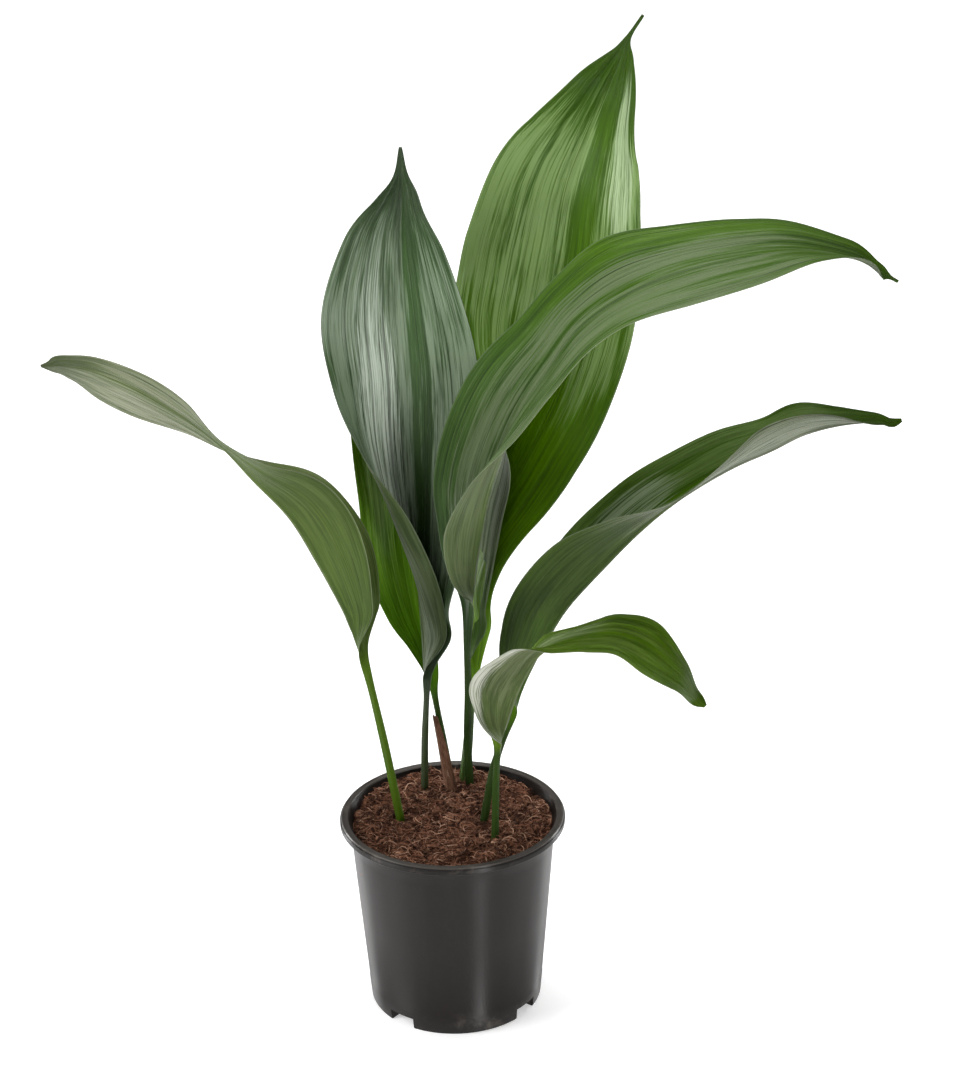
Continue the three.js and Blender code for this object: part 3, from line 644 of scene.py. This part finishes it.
def leaf_mesh(name, leaf, seed):
    """A whole leaf: its two halves along the midrib's path, round a core that is the stalk low down."""
    stations = with_root(leaf["stations"])
    t = np.linspace(0, 1, ROWS + 1)
    centre, front, across = frames_at(stations, t)
    values = stations_at(stations, t)
    half = values[:, 3]
    core = STALK_CORE + (TIP_CORE - STALK_CORE) * t
    fill = np.minimum(1, (core / half) ** 2)
    left, right = (half_blade(leaf, values, t[:, None], side, seed) for side in (-1, 1))
    upper, under = [], []
    for column in range(-HALF_COLUMNS, HALF_COLUMNS + 1):
        a, b, normal, lift = (part[:, abs(column)] for part in (left if column < 0 else right))
        if column == 0:
            normal = unit(normal + left[2][:, 0])
        reach = abs(column) / HALF_COLUMNS
        bulge = (core - SKIN) * np.exp(-((reach * half / core) ** 2))
        skin = SKIN * (1 - 0.55 * reach ** 10)
        for points, offset in ((upper, lift + (skin + bulge * fill)), (under, lift - (skin + bulge))):
            points.append(centre + across * (a + normal[:, 0] * offset)[:, None]
                          + front * (b + normal[:, 1] * offset)[:, None])
    made = closed_sheet(name, np.stack(upper, 1), np.stack(under, 1))
    mesh = made.data
    is_under = np.arange(len(mesh.polygons)) >= ROWS * 2 * HALF_COLUMNS
    mesh.polygons.foreach_set("material_index", is_under.astype(int))
    mesh.shade_smooth()
    ends = np.empty(2 * len(mesh.edges), int)
    mesh.edges.foreach_get("vertices", ends)
    width = len(upper)
    column = (ends % (2 * width)).reshape(-1, 2)
    margin = (column[:, 0] == column[:, 1]) & np.isin(column[:, 0] % width, (0, width - 1))
    mesh.attributes.new("sharp_edge", "BOOLEAN", "EDGE").data.foreach_set("value", margin)
    mesh.update()
    return made


# What a blade's surface does along its own length and width: bands, streaks, dark lines, margin and midrib.
# The neck is where the stalk ends. Sheen is where a blade's pale painted sheen goes, standing for its soft
# reflections, the gap is a band without it, and the spot is where a painted highlight shines.
MARKS = ("Seed", "Neck", "Sheen Start", "Gap Across", "Gap Width", "Spot Across", "Spot Along", "Spot Width",
         "Spot Length")
MASKS = ("Rise", "Depth", "Sheen", "Spot", "Streaks", "Veins", "Lines", "Margin", "Midrib", "Stalk", "Relief")
veins = bpy.data.node_groups.new("leaf_veins", "ShaderNodeTree")
for name in MARKS:
    veins.interface.new_socket(name, in_out="INPUT", socket_type="NodeSocketFloat")
for name in MASKS:
    veins.interface.new_socket(name, in_out="OUTPUT", socket_type="NodeSocketFloat")
given = veins.nodes.new("NodeGroupInput").outputs
result = veins.nodes.new("NodeGroupOutput").inputs
uv = add(veins, "ShaderNodeSeparateXYZ", {0: add(veins, "ShaderNodeUVMap", uv_map="blade").outputs[0]})
over, along = uv.outputs["X"], uv.outputs["Y"]


def lengthwise(across, lengths, detail, roughness, offset=0.0):
    """Noise drawn out along the blade: so many streaks across it, so many changes along it."""
    where = add(veins, "ShaderNodeCombineXYZ", {
        0: math_of(veins, "MULTIPLY", over, across), 1: math_of(veins, "MULTIPLY", along, lengths),
        2: math_of(veins, "ADD", given["Seed"], offset)})
    return cloud(veins, where.outputs[0], 1.0, detail, roughness)


def weighed(tree, *pairs):
    """The sum of the values, each times its weight."""
    total = 0.0
    for value, weight in reversed(pairs):
        total = math_of(tree, "MULTIPLY_ADD", value, weight, total)
    return total


def apart(tree, a, b):
    return math_of(tree, "SUBTRACT", a, b)


from_midrib = math_of(veins, "ABSOLUTE", math_of(veins, "MULTIPLY_ADD", over, 2.0, -1.0))
past_neck = apart(veins, along, given["Neck"])
rise = math_of(veins, "DIVIDE", past_neck, apart(veins, 1.0, given["Neck"]), clamp=True)
bands = lengthwise(12, 8, 3, 0.62)
streaks = lengthwise(64, 11, 4, 0.68, 3.0)
fine = lengthwise(230, 20, 2, 0.5, 5.0)
contours = math_of(veins, "ABSOLUTE", apart(veins, lengthwise(56, 1.6, 1, 0.4, 7.0), 0.5))
lines = math_of(veins, "MULTIPLY", span(veins, contours, 0.036, 0.008),
                span(veins, lengthwise(10, 4, 1, 0.5, 9.0), 0.40, 0.52))
sheen_reach = math_of(veins, "MULTIPLY", span(veins, apart(veins, rise, given["Sheen Start"]), -0.06, 0.10),
                      span(veins, rise, 0.92, 0.66))
from_gap = math_of(veins, "ABSOLUTE", apart(veins, over, given["Gap Across"]))
gap = span(veins, math_of(veins, "DIVIDE", from_gap, given["Gap Width"]), 1.0, 0.35)
mixed = weighed(veins, (sheen_reach, 0.20), (gap, -0.13), (bands, 0.42), (streaks, 0.42), (fine, 0.18))
far_across = math_of(veins, "DIVIDE", apart(veins, over, given["Spot Across"]), given["Spot Width"])
far_along = math_of(veins, "DIVIDE", apart(veins, rise, given["Spot Along"]), given["Spot Length"])
far_off = weighed(veins, (far_across, far_across), (far_along, far_along))
highlight_spot = weighed(veins, (span(veins, far_off, 1.0, 0.0), 0.30), (streaks, 0.75), (fine, 0.25))
outputs = {
    "Rise": rise,
    # Painted shade and light of the pleats: low where the bands and streaks are low, high where they are high.
    "Depth": weighed(veins, (span(veins, bands, 0.36, 0.64), 0.5), (span(veins, streaks, 0.36, 0.64), 0.5)),
    "Sheen": span(veins, mixed, 0.61, 0.74),
    "Spot": span(veins, highlight_spot, 0.60, 0.86),
    "Streaks": span(veins, streaks, 0.35, 0.68),
    "Veins": span(veins, fine, 0.3, 0.7),
    "Lines": lines,
    "Margin": span(veins, from_midrib, 0.978, 0.990),
    "Midrib": span(veins, from_midrib, 0.020, 0.006),
    "Stalk": span(veins, past_neck, 0.03, -0.03),
    "Relief": weighed(veins, (streaks, 1.2), (fine, 0.6), (lines, -0.5))}
for name, value in outputs.items():
    veins.links.new(value, result[name])


def share(tree, part, amount):
    """How much of a part of the pattern shows, at most all of it."""
    return math_of(tree, "MULTIPLY", part, amount, clamp=True)


def scaled(colour, by, plus=0.0):
    return tuple(plus + by * c for c in colour)


def blade_skin(name, marks, stalk, gloss, relief, look):
    """The skin of one side of a blade: two greens with a pale painted sheen, a painted highlight spot and dark
    lines.
    """
    low, high, pale = look["low"], look["high"], look["pale"]
    made, t = new_material(name)
    part = add(t, "ShaderNodeGroup", dict(zip(MARKS, marks)), node_tree=veins).outputs
    green = tint(t, span(t, part["Rise"], 0.1, 0.75), low, high)
    green = tint(t, span(t, part["Rise"], 0.66, 0.88, 0.0, 0.75), green, scaled(high, 0.35))
    # Painted shade and light of the pleats: the green is made darker or lighter along the bands and streaks.
    green = tint(t, 1.0, green, tint(t, part["Depth"], (0.62, 0.66, 0.60), (1.42, 1.36, 1.40)), "MULTIPLY")
    shade = tint(t, share(t, part["Veins"], 0.3), green, scaled(low, 0.5))
    # Painted sheen: pale streaks in place of the soft reflections on the blade.
    shade = tint(t, share(t, part["Sheen"], look["shine"]), shade, pale)
    # Painted highlight: a brighter patch of the pale colour where the blade shines most.
    shade = tint(t, share(t, part["Spot"], look["glare"]), shade, scaled(pale, 1.15, 0.22))
    shade = tint(t, share(t, part["Lines"], 0.7), shade, scaled(low, 0.45))
    shade = tint(t, share(t, part["Midrib"], 0.3), shade, pale)
    off_stalk = math_of(t, "SUBTRACT", 1.0, part["Stalk"], clamp=True)
    margin = math_of(t, "MULTIPLY", part["Margin"], off_stalk)
    shade = tint(t, share(t, margin, 0.25), shade, scaled(pale, 1.1, 0.10))
    shade = tint(t, part["Stalk"], shade, stalk)
    rough = math_of(t, "MULTIPLY_ADD", part["Streaks"], -0.10, gloss)
    finish_material(t, shade, rough, bumped(t, relief, 0.0007, part["Relief"]),
                    Specular_IOR_Level=look["specular"])
    return made


# For each side of a blade: its green low down and high up, the colour of the painted pale sheen, how much of it
# shows and from where up, the painted highlight spot (across, along, its width and length), how strong that is,
# and the shader's specular level. A gap in the painted sheen (across, its width) is given where it isn't the
# usual narrow one.
USUAL_GAP = (0.5, 0.1)
GLOSS = {"upper": 0.40, "under": 0.58}
RELIEF = {"upper": 0.55, "under": 0.45}
SKINS = {
    "leaf_left_arching": {
        "neck": 0.23, "stalk": (0.050, 0.098, 0.003),
        "upper": {"low": (0.045, 0.081, 0.007), "high": (0.062, 0.090, 0.012), "pale": (0.11, 0.14, 0.06),
                  "shine": 0.4, "start": 0.0, "highlight_spot": (0.3, 0.7, 0.3, 0.3), "glare": 0.2, "specular": 0.1},
        "under": {"low": (0.046, 0.080, 0.012), "high": (0.070, 0.100, 0.025), "pale": (0.165, 0.180, 0.110),
                  "shine": 0.9, "start": 0.50, "highlight_spot": (0.8, 0.78, 0.5, 0.3), "glare": 0.25,
                  "specular": 0.15}},
    "leaf_upright_front": {
        "neck": 0.20, "stalk": (0.022, 0.036, 0.008),
        # The upper side's green low down is this dark partly as painted shade, where the right arching leaf
        # shades it.
        "upper": {"low": (0.013, 0.034, 0.005), "high": (0.028, 0.070, 0.012), "pale": (0.150, 0.200, 0.130),
                  "shine": 0.82, "start": 0.27, "gap": (0.57, 0.10), "highlight_spot": (0.30, 0.44, 0.20, 0.40),
                  "glare": 0.9, "specular": 0.3},
        "under": {"low": (0.024, 0.042, 0.008), "high": (0.036, 0.056, 0.014), "pale": (0.07, 0.09, 0.045),
                  "shine": 0.3, "start": 0.0, "highlight_spot": (0.3, 0.1, 0.3, 0.2), "glare": 0.2, "specular": 0.12}},
    "leaf_short_rear": {
        "neck": 0.24, "stalk": (0.022, 0.045, 0.005),
        "upper": {"low": (0.038, 0.102, 0.000), "high": (0.056, 0.135, 0.000), "pale": (0.10, 0.18, 0.02),
                  "shine": 0.3, "start": 0.3, "highlight_spot": (0.3, 0.6, 0.3, 0.3), "glare": 0.2, "specular": 0.05},
        "under": {"low": (0.050, 0.085, 0.015), "high": (0.070, 0.105, 0.030), "pale": (0.13, 0.16, 0.08),
                  "shine": 0.4, "start": 0.0, "highlight_spot": (0.5, 0.5, 0.3, 0.3), "glare": 0.2, "specular": 0.12}},
    "leaf_tall_rear": {
        "neck": 0.17, "stalk": (0.022, 0.050, 0.006),
        # Brighter green low down than high up on the upper side: partly painted light, for light through the
        # leaf.
        "upper": {"low": (0.092, 0.205, 0.000), "high": (0.036, 0.098, 0.000), "pale": (0.172, 0.268, 0.086),
                  "shine": 0.9, "start": 0.42, "gap": (0.62, 0.10), "highlight_spot": (0.84, 0.72, 0.14, 0.18),
                  "glare": 0.6, "specular": 0.15},
        "under": {"low": (0.028, 0.066, 0.005), "high": (0.056, 0.096, 0.022), "pale": (0.16, 0.20, 0.10),
                  "shine": 0.6, "start": 0.2, "highlight_spot": (0.5, 0.5, 0.3, 0.3), "glare": 0.3, "specular": 0.04}},
    "leaf_right_arching": {
        "neck": 0.19, "stalk": (0.018, 0.036, 0.006),
        "upper": {"low": (0.034, 0.066, 0.022), "high": (0.046, 0.108, 0.000), "pale": (0.096, 0.128, 0.064),
                  "shine": 0.85, "start": 0.05, "gap": (0.0, 0.30), "highlight_spot": (0.35, 0.16, 0.30, 0.18),
                  "glare": 0.7, "specular": 0.06},
        "under": {"low": (0.080, 0.116, 0.040), "high": (0.075, 0.110, 0.034), "pale": (0.14, 0.17, 0.09),
                  "shine": 0.4, "start": 0.0, "highlight_spot": (0.5, 0.5, 0.3, 0.3), "glare": 0.2, "specular": 0.12}},
    "leaf_right_folded": {
        "neck": 0.18, "stalk": (0.018, 0.036, 0.006),
        "upper": {"low": (0.044, 0.104, 0.000), "high": (0.040, 0.094, 0.000), "pale": (0.100, 0.150, 0.050),
                  "shine": 0.5, "start": 0.10, "highlight_spot": (0.3, 0.42, 0.3, 0.12), "glare": 0.5,
                  "specular": 0.06},
        "under": {"low": (0.030, 0.064, 0.005), "high": (0.038, 0.048, 0.017), "pale": (0.11, 0.13, 0.075),
                  "shine": 0.5, "start": 0.4, "highlight_spot": (0.7, 0.7, 0.4, 0.3), "glare": 0.35, "specular": 0.12}},
    "leaf_right_low": {
        "neck": 0.24, "stalk": (0.022, 0.048, 0.006),
        "upper": {"low": (0.070, 0.130, 0.005), "high": (0.064, 0.138, 0.000), "pale": (0.125, 0.180, 0.050),
                  "shine": 0.35, "start": 0.1, "highlight_spot": (0.3, 0.45, 0.3, 0.2), "glare": 0.3, "specular": 0.08},
        "under": {"low": (0.058, 0.084, 0.024), "high": (0.086, 0.108, 0.044), "pale": (0.15, 0.16, 0.105),
                  "shine": 0.25, "start": 0.15, "highlight_spot": (0.96, 0.3, 0.16, 0.35), "glare": 1.0,
                  "specular": 0.12}},
}
for number, (name, leaf) in enumerate(LEAVES.items()):
    grown = leaf_mesh(name + "_blade", leaf, 100 + number)
    for side, seed in (("upper", 3.1 * number), ("under", 3.1 * number + 1)):
        look = SKINS[name][side]
        marks = (seed, SKINS[name]["neck"], look["start"], *look.get("gap", USUAL_GAP), *look["highlight_spot"])
        grown.data.materials.append(blade_skin(f"{name}_{side}", marks, SKINS[name]["stalk"], GLOSS[side],
                                               RELIEF[side], look))
    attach(grown, "root")
    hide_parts(name)

# ---- The sheaths ----
# A short scale leaf wraps the foot of two stalks: one is dry, brown and fibrous, the other still green. Each
# is a thin curled sheet round its stalk that narrows upwards. Lengths are in millimetres, as for the leaves.
SHEATH_WALL = 0.6
SHEATH_ROWS = 40
SHEATH_COLUMNS = 36
SHEATH_RIDGES = 23
RIDGE_DEPTH = 0.22
SHEATH_CREASE = 50
NO_NECK = -1.0
# Whose stalk it wraps, from what height to what height, its inner radius below and above, and from what angle
# to what angle round the stalk, in degrees.
SHEATHS = {
    "sheath_dry": ("leaf_short_rear", (110, 172), (4.6, 3.1), (100, 310)),
    "sheath_green": ("leaf_tall_rear", (110, 156), (4.1, 2.9), (90, 260)),
}


def sheath_mesh(name, leaf, heights, radii, wrap):
    """A curled sheet with ridges along it, which follows the stalk and covers less of it higher up."""
    stations = with_root(LEAVES[leaf]["stations"])
    t = np.linspace(0, 1, 2001)
    rise = stations_at(stations, t)[:, 2]
    low, high = (t[np.argmax(rise >= z)] for z in heights)
    f = np.linspace(0, 1, SHEATH_ROWS + 1)
    centre, front, across = frames_at(stations, low + (high - low) * f)
    k = np.linspace(-1, 1, SHEATH_COLUMNS + 1)
    middle, spread = math.radians(sum(wrap) / 2), math.radians(wrap[1] - wrap[0]) / 2
    angle = middle + (spread * (1 - 0.5 * f ** 3))[:, None] * k
    depths = np.random.default_rng(len(name)).uniform(-1, 1, SHEATH_RIDGES)
    ridges = RIDGE_DEPTH * np.interp(k, np.linspace(-1, 1, SHEATH_RIDGES), depths)
    radius = (radii[0] + (radii[1] - radii[0]) * f)[:, None] + ridges
    outer, inner = (centre[:, None] + across[:, None] * (r * np.cos(angle))[..., None]
                    - front[:, None] * (r * np.sin(angle))[..., None] for r in (radius + SHEATH_WALL, radius))
    made = closed_sheet(name, outer, inner)
    shape = bmesh.new()
    shape.from_mesh(made.data)
    bmesh.ops.recalc_face_normals(shape, faces=shape.faces)
    shape.to_mesh(made.data)
    shape.free()
    smooth_by_angle(made, SHEATH_CREASE)
    return made


def sheath_skin(name, deep, mid, pale, gloss):
    """A scale leaf's skin: the blade's own streaks and relief, without a stalk, in its three colours."""
    made, t = new_material(name)
    part = add(t, "ShaderNodeGroup", {"Seed": 40.0, "Neck": NO_NECK}, node_tree=veins).outputs
    shade = tint(t, part["Streaks"], deep, mid)
    shade = tint(t, math_of(t, "MULTIPLY", part["Veins"], part["Sheen"]), shade, pale)
    rough = math_of(t, "MULTIPLY_ADD", part["Streaks"], -0.1, gloss)
    finish_material(t, shade, rough, bumped(t, 0.8, 0.0006, part["Relief"]), Specular_IOR_Level=0.2)
    return made


sheath_skins = {
    "sheath_dry": sheath_skin("dry_fibre", (0.060, 0.022, 0.010), (0.210, 0.105, 0.060),
                              (0.60, 0.42, 0.31), 0.8),
    "sheath_green": sheath_skin("green_scale", (0.030, 0.066, 0.008), (0.070, 0.130, 0.022),
                                (0.15, 0.21, 0.08), 0.45),
}
for name, (leaf, heights, radii, wrap) in SHEATHS.items():
    made = sheath_mesh(name + "_scale", leaf, heights, radii, wrap)
    made.data.materials.append(sheath_skins[name])
    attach(made, "root")
    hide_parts(name)

# ---- The studio ----
# A wide pale floor that glows to white away from the pot, a dim white surround, large soft lights on the left
# and above, weak ones low behind both sides, and a narrow one low on the right. The camera looks a little down.
FLOOR_REACH = 40
SURROUND = 0.24
corners = [(x * FLOOR_REACH, y * FLOOR_REACH, 0) for x, y in ((-1, -1), (1, -1), (1, 1), (-1, 1))]
studio_floor = placed_faces("studio_floor", corners, [(0, 1, 2, 3)])
paper, t = new_material("pale_floor")
place = add(t, "ShaderNodeTexCoord").outputs["Object"]
away = add(t, "ShaderNodeVectorMath", {0: place}, operation="LENGTH").outputs["Value"]
glow = tint(t, span(t, away, 0.5, 2.2), (0.42, 0.42, 0.42), (0.95, 0.95, 0.95))
shade = tint(t, cloud(t, place, 3, 2), (0.80, 0.80, 0.80), (0.82, 0.82, 0.82))
shader = finish_material(t, shade, 0.9, bumped(t, 0.02, 0.001, cloud(t, place, 50, 2)), Emission_Strength=1.0)
t.links.new(glow, shader.inputs["Emission Color"])
studio_floor.data.materials.append(paper)

world = bpy.data.worlds.new("studio")
bpy.context.scene.world = world
world.use_nodes = True
world.node_tree.nodes["Background"].inputs["Color"].default_value = (1, 1, 1, 1)
world.node_tree.nodes["Background"].inputs["Strength"].default_value = SURROUND

# Each lamp's place and aim, its width and height in metres, its power in watts and its spread in degrees.
for name, place, aim, size, power, spread in (
        ("key_left", (-1.70, -0.55, 1.25), (0, 0, 0.30), (1.0, 1.5), 40, 180),
        ("side_left", (-1.25, 0.75, 0.16), (0, 0, 0.04), (0.9, 0.4), 0.9, 18),
        ("side_right", (1.25, 0.75, 0.16), (0, 0, 0.04), (0.9, 0.4), 0.8, 18),
        ("strip_right", (0.72, -1.33, 0.20), (0, 0, 0.06), (0.14, 0.55), 12, 180),
        ("top_back", (0.2, 0.4, 1.9), (0, 0, 0.35), (1.4, 1.0), 34, 180)):
    lamp = bpy.data.lights.new(name, "AREA")
    lamp.shape = "RECTANGLE"
    lamp.size, lamp.size_y = size
    lamp.energy = power
    lamp.spread = math.radians(spread)
    holder = placed(name, lamp)
    holder.location = place
    holder.rotation_euler = (Vector(aim) - Vector(place)).to_track_quat("-Z", "Y").to_euler()
    holder.visible_camera = False

CAMERA_PLACE = (0.020, -1.3248, 0.8558)
CAMERA_TILT = 67.5
CAMERA_ROLL = -1
lens = bpy.data.cameras.new("view")
lens.lens = 80
lens.sensor_fit = "VERTICAL"
lens.sensor_height = 36
view = placed("view", lens)
view.matrix_world = (Matrix.Translation(CAMERA_PLACE) @ Matrix.Rotation(math.radians(CAMERA_TILT), 4, "X")
                     @ Matrix.Rotation(math.radians(CAMERA_ROLL), 4, "Z"))
bpy.context.scene.camera = view
bpy.context.scene.view_settings.view_transform = "Standard"
